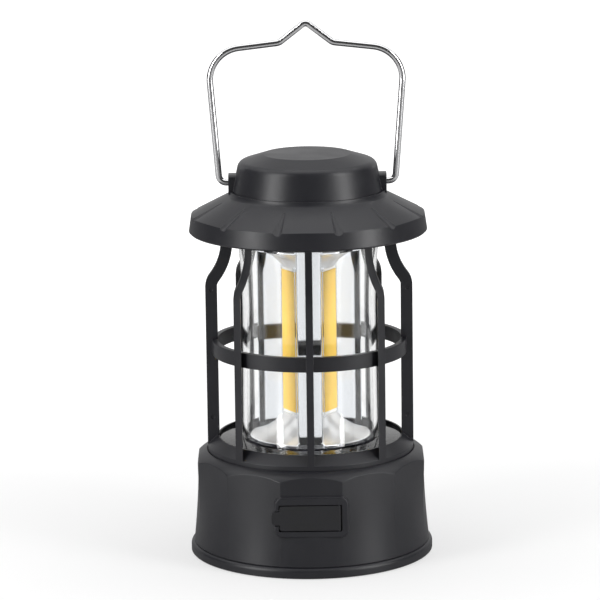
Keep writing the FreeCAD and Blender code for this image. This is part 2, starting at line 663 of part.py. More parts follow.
def make_control_board():
    z0 = BOARD_TOP_Z - BOARD_T
    board = box(-BOARD_W / 2, BOARD_W / 2, BOARD_Y0, BOARD_Y1, z0, BOARD_TOP_Z)
    nose_x = BOARD_NOSE_W / 2
    nose = box(PORT_X - nose_x, PORT_X + nose_x, BOARD_NOSE_Y, BOARD_Y0 + BITE, z0, BOARD_TOP_Z)
    holes = [screw_hole(V(p.x, p.y, z0), BOARD_T, UP) for p in POSTS]
    return board.fuse(nose).cut(holes)


def make_switch_board():
    y0 = SWITCH_BOARD_Y - BOARD_T
    board = rounded_slab(0, BUTTON_Z, SWITCH_BOARD_W, SWITCH_BOARD_H, SWITCH_BOARD_CORNER,
                         y0, SWITCH_BOARD_Y)
    return board.cut([screw_hole(V(p.x, y0, p.z), BOARD_T, REAR) for p in SWITCH_POSTS])


def make_switch_body():
    side = SWITCH_SIDE / 2
    body = box(-side, side, SWITCH_BOARD_Y, SWITCH_FACE_Y, BUTTON_Z - side, BUTTON_Z + side)
    hole = rod_y(PLUNGER_R + RUN_CLEAR, SWITCH_FACE_Y - SWITCH_HOLE, SWITCH_FACE_Y + CUT, 0, BUTTON_Z)
    return body.cut(hole)


def make_power_button():
    cap = rod_y(BUTTON_R, BUTTON_BACK_Y, BUTTON_Y, 0, BUTTON_Z)
    rim = [e for e in cap.Edges if e.BoundBox.YMin > BUTTON_SEAT_Y]
    cap = cap.makeFillet(BUTTON_EDGE, rim)
    dish = Part.makeSphere(BUTTON_DISH_R, V(0, BUTTON_Y + BUTTON_DISH_R - BUTTON_DISH_DEEP, BUTTON_Z))
    flange = rod_y(BUTTON_FLANGE_R, BUTTON_BACK_Y, BUTTON_SEAT_Y, 0, BUTTON_Z)
    return cap.cut(dish).fuse(flange)


def cage_bars():
    out = bend_points(0)
    inn = bend_points(CAGE_DEPTH)
    mid = bend_points(CAGE_DEPTH / 2)
    low = CHANNEL_Z - CUT
    high = CAGE_TOP_Z + CUT
    reach = CAGE_R + CUT
    wall = turned(
        (CAGE_R, CHANNEL_Z), out[0], (out[1], out[2]), (out[3], out[4]), (CAGE_NECK_R, CAGE_TOP_Z),
        (CAGE_NECK_IN_R, CAGE_TOP_Z), inn[4], (inn[3], inn[2]), (inn[1], inn[0]), (BAR_IN_R, CHANNEL_Z))
    left = [(x * DIAGONAL_LEAN - BAR_W / 2, z) for x, z in mid]
    right = [(x * DIAGONAL_LEAN + BAR_W / 2, z) for x, z in mid]
    diagonal = outline(
        (right[0][0], low), right[0], (right[1], right[2]), (right[3], right[4]), (right[4][0], high),
        (left[4][0], high), left[4], (left[3], left[2]), (left[1], left[0]), (left[0][0], low))
    diagonal = diagonal.extrude(V(0, reach, 0))
    half = [diagonal, diagonal.mirror(AXIS, V(1, 0, 0))]
    bars = half + [s.mirror(AXIS, REAR) for s in half]
    bars.append(box(-BAR_W / 2, BAR_W / 2, -reach, reach, low, high))
    bars.append(box(-reach, reach, -SIDE_BAR_W / 2, SIDE_BAR_W / 2, low, high))
    return [wall.common(bar) for bar in bars]


def make_cage():
    ring = turned(
        (BAR_IN_R, CHANNEL_Z), (CAGE_R, CHANNEL_Z), (CAGE_R, SHOULDER_Z + RING_FOOT_UP),
        (BAR_IN_R + RING_LIP_W, RING_LIP_Z),
        (BAR_IN_R, RING_LIP_Z))
    band = tube(BAR_IN_R, BAND_R, BAND_Z0, BAND_Z1)
    plate = tube(CAGE_PLATE_HOLE_R, CAGE_NECK_R, CAGE_PLATE_Z, CAGE_TOP_Z)
    body = ring.fuse(cage_bars() + [band, plate])
    body = body.cut(rod(RING_IN_R, CHANNEL_Z - CUT, RING_LIP_Z - RING_LIP_T))
    body = body.fuse([rod(LUG_R, CHANNEL_Z, CHANNEL_Z + LUG_H, p.x, p.y) for p in LUGS])
    cuts = [pilot(CAGE_SCREW_GRIP, tip, UP) for tip in LUG_TIPS]
    cuts += [screw_hole(V(p.x, p.y, CAGE_PLATE_Z), CAGE_PLATE_T, UP) for p in TOP_SCREWS]
    mark_x = CAGE_R - CAGE_DEPTH / 2
    face = SIDE_BAR_W / 2 - MARK_DEEP
    for z in (DECK_Z + MARK_UP, CAGE_PLATE_Z - MARK_DOWN):
        for x in (-mark_x, mark_x):
            cuts.append(rod_y(MARK_R, face, face + CUT, x, z))
            cuts.append(rod_y(MARK_R, -face - CUT, -face, x, z))
    return body.cut(cuts)


def make_lens():
    face = DECK_Z + LENS_FLANGE_T
    rim = DECK_Z + LENS_RIM_T
    flange_r = BAR_IN_R - SEAM / 2
    rim_r = RING_IN_R - SEAM
    knee_z = (LENS_WAIST_Z + LENS_TOP_Z) / 2
    knee_r = LENS_WAIST_R + (LENS_TOP_R - LENS_WAIST_R) * LENS_KNEE
    return turned(
        (LENS_FOOT_R - LENS_WALL, DECK_Z), (rim_r, DECK_Z), (rim_r, rim), (flange_r, rim), (flange_r, face),
        (LENS_FOOT_R + LENS_FOOT_EDGE, face), (LENS_FOOT_R, face + LENS_FOOT_EDGE),
        (LENS_WAIST_R, LENS_WAIST_Z),
        ((knee_r, knee_z), (LENS_TOP_R, LENS_TOP_Z)), (LENS_TOP_R - LENS_WALL, LENS_TOP_Z),
        ((knee_r - LENS_WALL, knee_z), (LENS_WAIST_R - LENS_WALL, LENS_WAIST_Z)))


def reflector_star():
    """Three arms, turned so that one points to the front, with a light face between each two."""
    half = LIGHT_FACE_W / 2
    root_r = LIGHT_INRADIUS * math.cos(math.pi / ARMS) + half * math.sin(math.pi / ARMS)
    root_w = LIGHT_INRADIUS * math.sin(math.pi / ARMS) - half * math.cos(math.pi / ARMS)
    corners = []
    for i in range(ARMS):
        out = polar(1, i * 360.0 / ARMS)
        aside = V(-out.y, out.x, 0)
        arm = ((root_r, -root_w), (ARM_TIP_R, -ARM_TIP_W / 2), (ARM_TIP_R, ARM_TIP_W / 2), (root_r, root_w))
        corners += [out * r + aside * w + UP * REFLECTOR_Z for r, w in arm]
    star = Part.Face(Part.makePolygon(corners + corners[:1])).extrude(UP * (REFLECTOR_TOP_Z - REFLECTOR_Z))
    upright = [e for e in star.Edges if abs(e.tangentAt(e.FirstParameter).z) > 0.9]
    tips = [e for e in upright if math.hypot(e.CenterOfMass.x, e.CenterOfMass.y) > (root_r + ARM_TIP_R) / 2]
    return star.makeFillet(ARM_TIP_EDGE, tips)


def make_reflector():
    """Arms between curved trough floors and ceilings, whose lips draw back beside the arm tips."""
    lip = REFLECTOR_R - LIP_EDGE
    ease = LIP_EDGE * (1 - math.sqrt(0.5))
    mid_r = REFLECTOR_R - TROUGH_IN
    rise = LIGHT_Z0 - LIP_Z
    top_lip = LIGHT_Z1 + rise
    floor = turned(
        (0, REFLECTOR_Z), (REFLECTOR_R, REFLECTOR_Z), (REFLECTOR_R, LIP_Z - LIP_EDGE),
        ((REFLECTOR_R - ease, LIP_Z - ease), (lip, LIP_Z)),
        ((mid_r, LIP_Z + TROUGH_SAG), (LIGHT_INRADIUS, LIGHT_Z0)), (0, LIGHT_Z0))
    ceiling = turned(
        (0, LIGHT_Z1), (LIGHT_INRADIUS, LIGHT_Z1), ((mid_r, top_lip - TROUGH_SAG), (lip, top_lip)),
        (REFLECTOR_R, top_lip), (REFLECTOR_R, REFLECTOR_TOP_Z), (0, REFLECTOR_TOP_Z))
    low = REFLECTOR_Z - CUT
    near = ARM_TIP_W / 2
    far = near + LIP_SPLAY
    beyond = REFLECTOR_R + CUT
    plan = ((-near, ARM_TIP_R), (-far, beyond), (far, beyond), (near, ARM_TIP_R))
    corners = [V(x, -y, low) for x, y in plan]
    gap = Part.Face(Part.makePolygon(corners + corners[:1])).extrude(UP * (REFLECTOR_TOP_Z + CUT - low))
    troughs = floor.fuse(ceiling).cut(around(gap, ARMS))
    body = reflector_star().fuse(troughs)
    side = LIGHT_BOARD_W / 2 + POCKET_CLEAR
    over = LIGHT_BOARD_OVER + POCKET_CLEAR
    pocket = box(-side, side, LIGHT_BACK, LIGHT_INRADIUS + POCKET_OUT, LIGHT_Z0 - over, LIGHT_Z1 + over)
    cuts = [rod(REFLECTOR_BORE_R, REFLECTOR_Z - CUT, REFLECTOR_TOP_Z + CUT)]
    cuts += around(pocket, ARMS)
    cuts += [pilot(REFLECTOR_SCREW_GRIP + CUT, tip, UP) for tip in REFLECTOR_TIPS]
    return body.cut(cuts)


def make_reflector_base():
    r = LENS_FOOT_R - LENS_WALL - SEAM
    disc = rod(r, DECK_Z, REFLECTOR_Z).cut(rod(LEAD_HOLE_R, DECK_Z - CUT, REFLECTOR_Z + CUT))
    return disc.cut([screw_hole(V(p.x, p.y, DECK_Z), REFLECTOR_BASE_T, UP) for p in REFLECTOR_SCREWS])


def make_light(y0, y1, width, z0, z1):
    return around(box(-width / 2, width / 2, y0, y1, z0, z1), ARMS)


def crease_groove(foot, top):
    """Tapered groove along a crease, widest at the rim. Both points are (radius, height)."""
    slope = V(top[0] - foot[0], 0, top[1] - foot[1])
    out = V(-slope.z, 0, slope.x).normalize() * -1
    start = V(foot[0], 0, foot[1]) + out * (GROOVE_R - GROOVE_DEEP)
    end = V(top[0], 0, top[1]) + out * (GROOVE_END_R - GROOVE_END_DEEP)
    run = end - start
    return Part.makeCone(GROOVE_R, GROOVE_END_R, run.Length, start, run)


def make_roof():
    seat_top = SEAT_Z + SEAT_SUNK
    slope = (seat_top - RIM_TOP_Z) / (RIM_TOP_R - SEAT_R)
    low_z = RIM_TOP_Z - LOBE_DROP
    low_r = RIM_TOP_R + LOBE_DROP / slope
    crease_r = low_r - CREASE_SUNK
    panels = [lobed_wire(low_z, crease_r, low_r), lobed_wire(seat_top, SEAT_R, SEAT_R)]
    dome = Part.makeLoft(panels, True, True)
    dome = dome.fuse(rod(low_r, RIM_Z - CUT, low_z))
    rim = turned(
        (0, RIM_Z), (RIM_R - RIM_EDGE, RIM_Z), (RIM_R, RIM_Z + RIM_EDGE),
        (RIM_TOP_R, RIM_TOP_Z + RIM_BEVEL),
        (RIM_TOP_R, seat_top + CUT), (0, seat_top + CUT))
    body = rim.common(dome)
    steep = (seat_top - low_z) / (crease_r - SEAT_R)
    groove_ends = [(r, seat_top - steep * (r - SEAT_R)) for r in (RIM_TOP_R + CUT, SEAT_R + GROOVE_END_OUT)]
    body = body.cut(around(crease_groove(*groove_ends), FACETS, 180.0 / FACETS))
    foot_r = SEAT_R + COLLAR_W
    foot_z = seat_top - steep * COLLAR_W
    top_r = SEAT_R + COLLAR_TOP_W
    dip = ((foot_r + top_r) / 2 - COLLAR_DIP / 4, (foot_z + COLLAR_Z) / 2 - COLLAR_DIP / 4)
    collar = turned(
        (SEAT_R - WALL, foot_z), (foot_r, foot_z), (dip, (top_r, COLLAR_Z)), (SEAT_R - WALL, COLLAR_Z))
    crown_r = CROWN_R - CROWN_DRAFT * COLLAR_RISE / CROWN_H + SEAM
    nest = turned((0, SEAT_Z), (CROWN_R + SEAM, SEAT_Z), (crown_r, COLLAR_Z), (crown_r, COLLAR_Z + CUT),
                  (0, COLLAR_Z + CUT))
    ear_side = EAR_W / 2 + SEAM
    ear_room = box(-EAR_X - SEAM, EAR_X + SEAM, -ear_side, ear_side, seat_top - SEAM, COLLAR_Z + CUT)
    hollow = turned(
        (0, RIM_Z - CUT), (RIM_R - WALL, RIM_Z - CUT), (RIM_TOP_R - WALL, RIM_TOP_Z - ROOF_SKIN),
        (SEAT_R, SEAT_Z - ROOF_SKIN), (0, SEAT_Z - ROOF_SKIN))
    body = body.fuse(collar).cut([nest, ear_room, hollow])
    skirt_top = RIM_TOP_Z + slope * (RIM_TOP_R - SKIRT_R - SKIRT_T) - SKIRT_DOWN
    skirt = tube(SKIRT_R, SKIRT_R + SKIRT_T, RIM_Z, skirt_top)
    ceiling = rod(SKIRT_R + BITE, CEILING_Z, CEILING_Z + CEILING_T)
    bosses = [rod(TOP_BOSS_R, CEILING_Z, CEILING_Z + TOP_BOSS_H, p.x, p.y) for p in TOP_SCREWS]
    body = body.fuse([skirt, ceiling] + bosses)
    cuts = [pilot(TOP_SCREW_GRIP, tip, UP) for tip in TOP_TIPS]
    cuts += [screw_hole(V(p.x, p.y, SEAT_Z - ROOF_SKIN), ROOF_SKIN, UP) for p in CROWN_SCREWS]
    cuts.append(rod(CEILING_BORE_R, CEILING_Z - CUT, CEILING_Z + CEILING_T + CUT))
    cuts += [rod(SCREW_HEAD_R + HEAD_GAP, CEILING_Z - CUT, CEILING_Z + CEILING_T + CUT, p.x, p.y)
             for p in CROWN_SCREWS]
    return body.cut(cuts)


def make_crown():
    corner = V(CROWN_EDGE_R, 0, CROWN_EDGE_Z)
    eased = bend(V(CROWN_R, 0, SEAT_Z), corner, V(CROWN_FLAT_R, 0, CROWN_FLAT_Z), CROWN_EDGE)
    start, middle, end = [(p.x, p.z) for p in eased]
    body = turned(
        (0, SEAT_Z), (CROWN_R, SEAT_Z), start, (middle, end), (CROWN_FLAT_R, CROWN_FLAT_Z), (0, CROWN_FLAT_Z))
    dome_r = (CROWN_FLAT_R ** 2 + CROWN_DOME ** 2) / (2 * CROWN_DOME)
    dome = Part.makeSphere(dome_r, V(0, 0, CROWN_TOP_Z - dome_r))
    body = body.fuse(dome.common(rod(CROWN_FLAT_R, CROWN_FLAT_Z - BITE, CROWN_TOP_Z + CUT)))
    hollow = turned(
        (0, SEAT_Z - CUT), (CROWN_R - WALL, SEAT_Z - CUT), (CROWN_EDGE_R - WALL, CROWN_EDGE_Z - WALL),
        (CROWN_FLAT_R, CROWN_FLAT_Z - WALL), (0, CROWN_FLAT_Z - WALL))
    ears = []
    for side in (-1, 1):
        x = sorted((side * (CROWN_EDGE_R - WALL), side * EAR_X))
        ear = box(x[0], x[1], -EAR_W / 2, EAR_W / 2, SEAT_Z, EAR_TOP_Z)
        top = [e for e in ear.Edges if e.BoundBox.ZMin > PIVOT_Z]
        ears.append(ear.makeFillet(EAR_EDGE, [e for e in top if e.BoundBox.XLength > e.BoundBox.YLength]))
    bosses = [rod(CROWN_BOSS_R, SEAT_Z, CROWN_FLAT_Z - WALL + BITE, p.x, p.y) for p in CROWN_SCREWS]
    body = body.fuse(ears).cut(hollow).fuse(bosses)
    ear_foot = box(-EAR_X - CUT, EAR_X + CUT, -EAR_W, EAR_W, SEAT_Z - CUT, SEAT_Z + SEAT_SUNK + EAR_LIFT)
    ear_foot = ear_foot.cut(rod(CROWN_R, SEAT_Z - 2 * CUT, EAR_TOP_Z))
    bore_l = EAR_X + CUT
    bore = Part.makeCylinder(WIRE_R + RUN_CLEAR, 2 * bore_l, V(-bore_l, 0, PIVOT_Z), V(1, 0, 0))
    return body.cut([ear_foot, bore] + [pilot(CROWN_SCREW_GRIP, tip, UP) for tip in CROWN_TIPS])


def make_bail():
    half = [V(EAR_X - BAIL_END_IN, 0, PIVOT_Z), V(EAR_X + BAIL_FOOT_OUT, 0, PIVOT_Z),
            V(EAR_X + BAIL_HAND_OUT, 0, PIVOT_Z + BAIL_HAND_UP),
            V(BAIL_PEAK_W, 0, PIVOT_Z + BAIL_PEAK_FOOT_UP)]
    peak = V(0, 0, PIVOT_Z + BAIL_PEAK_UP)
    other = [V(-p.x, 0, p.z) for p in reversed(half)]
    rise = [BAIL_FOOT_BEND, BAIL_HAND_BEND, BAIL_SHOULDER_BEND]
    return wire_rod(half + [peak] + other, rise + [BAIL_PEAK_BEND] + rise[::-1], WIRE_R)


def make_light_lead(side):
    x = side * LEAD_X
    y = POSTS[0].y
    turn_z = BOARD_TOP_Z + LEAD_TURN_UP
    points = [V(x, y, BOARD_TOP_Z), V(x, y, turn_z), V(x, 0, turn_z + LEAD_TURN_W),
              V(x, 0, LIGHT_Z0 + LEAD_END_UP)]
    return wire_rod(points, [LEAD_BEND, LEAD_BEND], LEAD_R)


def make_cell_lead(side):
    x = side * (CELL_L / 2 + LEAD_R)
    z = CELL_Z + CELL_R + CELL_LEAD_OVER
    end = V(side * CELL_LEAD_X, BOARD_Y1 - CELL_LEAD_IN, z)
    points = [V(x, CELL_Y, CELL_Z + CELL_LEAD_UP), V(x, CELL_Y, z), end, V(end.x, end.y, BOARD_TOP_Z)]
    return wire_rod(points, [CELL_LEAD_BEND, CELL_LEAD_BEND], LEAD_R)


save("bottom_cover", make_bottom_cover())
save("foot_pads", *[rod(FOOT_R, 0, FOOT_PROUD + FOOT_SUNK, p.x, p.y) for p in FEET])
save("base_housing", make_base_housing())
save("bottom_screws", *[screw(COVER_SCREW_L, tip, UP) for tip in COVER_TIPS])
save("port_cover", make_port_cover())
save("usb_socket", make_usb_socket())
save("control_board", make_control_board())
save("board_screws", *[screw(BOARD_SCREW_GRIP + BOARD_T, tip, UP) for tip in BOARD_TIPS])
save("switch_board", make_switch_board())
save("switch_screws", *[screw(SWITCH_SCREW_GRIP + BOARD_T, tip, REAR) for tip in SWITCH_TIPS])
save("switch_body", make_switch_body())
save("switch_plunger", rod_y(PLUNGER_R, SWITCH_FACE_Y - PLUNGER_IN, BUTTON_BACK_Y, 0, BUTTON_Z))
save("power_button", make_power_button())
save("battery_cell", battery_cell())
save("cage", make_cage())
save("cage_screws", *[screw(CAGE_SCREW_GRIP + CHANNEL_T, tip, UP) for tip in LUG_TIPS])
save("cage_top_screws", *[screw(TOP_SCREW_GRIP + CAGE_PLATE_T, tip, UP) for tip in TOP_TIPS])
save("lens", make_lens())
save("lens_seal", tube(SEAL_R - SEAL_W / 2, SEAL_R + SEAL_W / 2, DECK_Z - SEAL_T, DECK_Z))
save("reflector_base", make_reflector_base())
save("reflector", make_reflector())
reflector_screw_l = REFLECTOR_SCREW_GRIP + REFLECTOR_BASE_T + DECK_T
save("reflector_screws", *[screw(reflector_screw_l, tip, UP) for tip in REFLECTOR_TIPS])
boards = make_light(LIGHT_BACK, LIGHT_BACK + LIGHT_BOARD_T, LIGHT_BOARD_W,
                    LIGHT_Z0 - LIGHT_BOARD_OVER, LIGHT_Z1 + LIGHT_BOARD_OVER)
strips = make_light(LIGHT_BACK + LIGHT_BOARD_T, LIGHT_INRADIUS, STRIP_W,
                    LIGHT_Z0 + STRIP_END, LIGHT_Z1 - STRIP_END)
for place, board, strip in zip(("rear", "left", "right"), boards, strips):
    save("led_board_" + place, board)
    save("led_strip_" + place, strip)
save("roof", make_roof())
save("crown", make_crown())
save("crown_screws", *[screw(CROWN_SCREW_GRIP + ROOF_SKIN, tip, UP) for tip in CROWN_TIPS])
save("bail", make_bail())
save("led_leads", *[make_light_lead(side) for side in (-1, 1)])
save("battery_leads", *[make_cell_lead(side) for side in (-1, 1)])
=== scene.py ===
"""Camping lantern: finishes, clear lens, light strips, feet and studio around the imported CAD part."""

import math

import bmesh
import bpy
from bpy.props import FloatProperty, FloatVectorProperty, IntProperty, PointerProperty
from mathutils import Matrix, Vector


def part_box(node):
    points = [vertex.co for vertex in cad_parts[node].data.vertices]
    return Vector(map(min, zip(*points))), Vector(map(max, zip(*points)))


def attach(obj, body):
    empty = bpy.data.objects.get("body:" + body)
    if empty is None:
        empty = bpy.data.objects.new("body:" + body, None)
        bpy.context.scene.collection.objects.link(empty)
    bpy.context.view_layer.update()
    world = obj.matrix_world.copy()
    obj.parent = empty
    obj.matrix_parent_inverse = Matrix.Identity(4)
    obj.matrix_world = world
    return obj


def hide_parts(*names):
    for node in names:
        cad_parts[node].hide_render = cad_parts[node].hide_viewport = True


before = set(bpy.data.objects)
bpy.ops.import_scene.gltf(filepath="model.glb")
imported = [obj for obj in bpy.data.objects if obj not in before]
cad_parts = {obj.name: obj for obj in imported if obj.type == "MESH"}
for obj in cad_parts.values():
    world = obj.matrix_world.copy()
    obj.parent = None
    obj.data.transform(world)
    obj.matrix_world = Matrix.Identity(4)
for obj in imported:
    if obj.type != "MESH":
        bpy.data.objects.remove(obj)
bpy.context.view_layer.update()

bl_info = {
    "name": "Camping lantern",
    "version": (1, 0, 0),
    "blender": (4, 5, 0),
    "location": "View3D > Sidebar > Lantern",
    "description": "Finishes and studio for a camping lantern with a guard cage and a wire bail",
    "category": "Object",
}

MM = 0.001
WHITE = (1.0, 1.0, 1.0, 1.0)

# Pieces that share a finish, and the turn of each light strip about the upright axis in degrees
MOULDINGS = ("base_housing", "bottom_cover", "cage", "roof", "crown")
SCREWS = ("bottom_screws", "board_screws", "switch_screws", "cage_screws", "cage_top_screws",
          "reflector_screws", "crown_screws")
STRIPS = (("rear", 0.0), ("left", 120.0), ("right", 240.0))
FEET = 4

# Values for the meshes
MERGE = 0.001 * MM
PAD_CLEAR = 5 * MM
DOWNWARD = -0.9
FLARE_AT_MIDDLE = 0.3
FLARE_STEPS = 8

# Depths of relief, roundings that only the light sees, and spreads of roughness
GRAIN_DEPTH = 0.05 * MM
PLATING_DEPTH = 0.02 * MM
WAVE_DEPTH = 0.06 * MM
WAVE_EDGE = 0.3 * MM
FINE_EDGE = 0.1 * MM
FOOT_EDGE = 0.15 * MM
MOULD_SPREAD = 0.05
PLATING_SPREAD = (0.7, 1.4)

# Studio in metres from the middle of the lantern's foot
FLOOR_HALF = 6.0
SHADOW_REACH = (0.06, 0.6)
LAMP_AIM = (0.0, 0.0, 0.10)
SIDE_LAMP = (0.30, 0.95)
LEFT_PLACE = (-0.80, -0.55, 0.42)
RIGHT_PLACE = (0.84, -0.50, 0.42)
TOP_LAMP = (2.40, 1.00)
TOP_PLACE = (0.0, 0.15, 1.10)
CAMERA_PLACE = (0.0, -1.27270, 0.35637)
CAMERA_RIGHT = (0.999917, -0.000051, -0.012891)
CAMERA_UP = (0.012637, 0.201440, 0.979419)
CAMERA_AHEAD = (-0.002547, 0.979501, -0.201424)
SENSOR_WIDTH = 36.0
CLIP_NEAR, CLIP_FAR = 0.05, 50.0

# Directions away from the camera between which the room turns from its front to its back tone
GLOSS_TURN = (0.45, 1.0)
LENS_TURN = (-0.5, 0.8)

# Slopes between which the reflector turns from mirror to satin trough
TROUGH_SLOPE = (0.1, 0.5)


def colour(name, text, rgb):
    return FloatVectorProperty(name=name, description=text, subtype="COLOR", size=3,
                               min=0.0, max=1.0, default=rgb)


def length(name, text, metres):
    return FloatProperty(name=name, description=text, subtype="DISTANCE", unit="LENGTH",
                         min=0.0, default=metres, precision=5)


def amount(name, text, value, top=1.0):
    return FloatProperty(name=name, description=text, min=0.0, max=top, default=value)


class LanternColours(bpy.types.PropertyGroup):
    """Colours of the lantern's finishes, scene linear."""

    plastic: colour("Plastic", "Black satin moulding", (0.0098, 0.0099, 0.0130))
    plastic_pale: colour("Plastic mottle", "Paler flow mottle in the moulding", (0.0137, 0.0138, 0.0175))
    rubber: colour("Rubber", "Port cover and feet", (0.009, 0.009, 0.0095))
    clear: colour("Clear lens", "Tint of the clear tube", (0.985, 0.99, 0.99))
    mirror: colour("Mirror", "Metallised reflector", (0.76, 0.775, 0.80))
    trough: colour("Trough", "Satin curve of the reflector's troughs", (0.97, 0.975, 0.985))
    chrome: colour("Chrome", "Bail wire", (0.80, 0.80, 0.81))
    phosphor: colour("Phosphor", "Light strip gel", (0.94, 0.62, 0.085))
    phosphor_deep: colour("Phosphor deep", "Denser grains in the gel", (0.90, 0.53, 0.05))
    board_white: colour("Light board", "White mask of the light boards", (0.80, 0.80, 0.78))
    board_green: colour("Circuit board", "Green mask of the circuit boards", (0.015, 0.11, 0.045))
    steel: colour("Steel", "Screws and socket shell", (0.55, 0.55, 0.56))
    cell: colour("Cell wrap", "Shrink wrap of the cell", (0.03, 0.12, 0.30))
    lead: colour("Lead", "Insulation of the leads", (0.40, 0.03, 0.025))
    switch: colour("Switch", "Switch case and plunger", (0.03, 0.03, 0.032))
    floor: colour("Floor", "Studio floor where it takes the lamps' light", (0.36, 0.36, 0.36))


class LanternSizes(bpy.types.PropertyGroup):
    """Sizes of the pieces that stand for CAD nodes."""

    lens_wall: length("Lens wall", "Thickness of the clear tube", 1.5 * MM)
    lens_foot: length("Lens foot", "Outer radius of the tube at its flange", 25.2 * MM)
    lens_waist: length("Lens waist", "Outer radius of the tube where it begins to flare", 24.7 * MM)
    lens_waist_height: length("Lens waist height", "Height of the waist above the ground", 92.0 * MM)
    lens_mouth: length("Lens mouth", "Outer radius of the tube at the top", 26.3 * MM)
    lens_rim: length("Lens rim", "Thickness of the flange's outer rim", 1.0 * MM)
    lens_step: length("Lens step", "Outer radius of the flange's raised step", 33.9 * MM)
    lens_flange: length("Lens flange", "Thickness of the flange", 2.0 * MM)
    lens_round: length("Lens rounding", "Rounded edges of the clear moulding", 0.25 * MM)
    strip_crown: length("Gel rounding", "Rounded edge of the light gel", 0.18 * MM)
    foot_round: length("Foot rounding", "Rounded edge of a rubber foot", 0.25 * MM)
    foot_ring: length("Foot ring", "Width of the ring round a foot's sunk middle", 1.6 * MM)
    foot_sink: length("Foot sink", "Depth of a foot's sunk middle", 0.12 * MM)
    edge: length("Edge rounding", "Rounding that catches the light on moulded edges", 0.35 * MM)
    turns: IntProperty(name="Round steps", description="Steps in a full turn", min=24, max=192, default=128)


class LanternStudio(bpy.types.PropertyGroup):
    """Lamps, fill and camera."""

    side_power: FloatProperty(name="Side lamps", description="Power of each tall side lamp",
                              unit="POWER", min=0.0, default=7.2)
    top_power: FloatProperty(name="Top lamp", description="Power of the lamp overhead",
                             unit="POWER", min=0.0, default=11.0)
    fill: amount("Fill", "Even light from all round", 0.42, 4.0)
    front_shade: amount("Front shade", "How bright the room behind the camera shows in gloss", 0.05)
    back_gloss: amount("Back gloss", "How bright the wall behind the lantern shows in gloss", 0.75)
    lens_shade: amount("Lens shade", "How bright the room behind the camera shows through the lens", 0.78)
    floor_glow: amount("Floor glow", "Part of the floor's white that takes no shadow", 1.0)
    foot_glow: amount("Floor glow at the foot", "The same close to the lantern", 0.52)
    lens_glow: amount("Floor glow through the lens", "The same as seen through the lens", 0.66)
    focal: FloatProperty(name="Focal length", description="Camera focal length in millimetres",
                         min=20.0, max=400.0, default=210.28)


def settings():
    scene = bpy.context.scene
    return scene.lantern_colours, scene.lantern_sizes, scene.lantern_studio


# Shader helpers

def node(tree, kind, **values):
    """New node of a kind, with its properties and the defaults of its inputs set."""
    made = tree.nodes.new(kind)
    for key, value in values.items():
        if hasattr(made, key):
            setattr(made, key, value)
        else:
            made.inputs[key.replace("_", " ")].default_value = value
    return made


def join(tree, source, target):
    tree.links.new(source, target)


def rgba(rgb):
    return (rgb[0], rgb[1], rgb[2], 1.0)


def surface(name, rgb, rough, **values):
    """New material with one Principled shader, returned with its tree."""
    made = bpy.data.materials.new(name)
    made.use_nodes = True
    tree = made.node_tree
    shader = tree.nodes["Principled BSDF"]
    shader.inputs["Base Color"].default_value = rgba(rgb)
    shader.inputs["Roughness"].default_value = rough
    for key, value in values.items():
        shader.inputs[key.replace("_", " ")].default_value = value
    made.diffuse_color = rgba(rgb)
    return made, tree, shader


def new_group(name, inputs, outputs):
    """Empty shader group with float inputs (name, default) and float outputs."""
    tree = bpy.data.node_groups.new(name, "ShaderNodeTree")
    for label, value in inputs:
        socket = tree.interface.new_socket(label, in_out="INPUT", socket_type="NodeSocketFloat")
        socket.default_value = value
    for label in outputs:
        tree.interface.new_socket(label, in_out="OUTPUT", socket_type="NodeSocketFloat")
    return tree, tree.nodes.new("NodeGroupInput"), tree.nodes.new("NodeGroupOutput")


def grain_group():
    """Spark-eroded mould texture: fine grain height, and broad mottle for tone and gloss."""
    found = bpy.data.node_groups.get("mould_grain")
    if found:
        return found
    tree, into, out = new_group("mould_grain", [("Grain", 3200.0), ("Mottle", 70.0)],
                                ["Height", "Tone"])
    place = node(tree, "ShaderNodeTexCoord")
    fine = node(tree, "ShaderNodeTexNoise", Detail=3.0, Roughness=0.6)
    broad = node(tree, "ShaderNodeTexNoise", Detail=4.0, Roughness=0.55, Distortion=0.4)
    for texture, size in ((fine, "Grain"), (broad, "Mottle")):
        join(tree, place.outputs["Object"], texture.inputs["Vector"])
        join(tree, into.outputs[size], texture.inputs["Scale"])
    spread = node(tree, "ShaderNodeMapRange", From_Min=0.3, From_Max=0.7)
    join(tree, broad.outputs["Fac"], spread.inputs["Value"])
    join(tree, fine.outputs["Fac"], out.inputs["Height"])
    join(tree, spread.outputs["Result"], out.inputs["Tone"])
    return tree


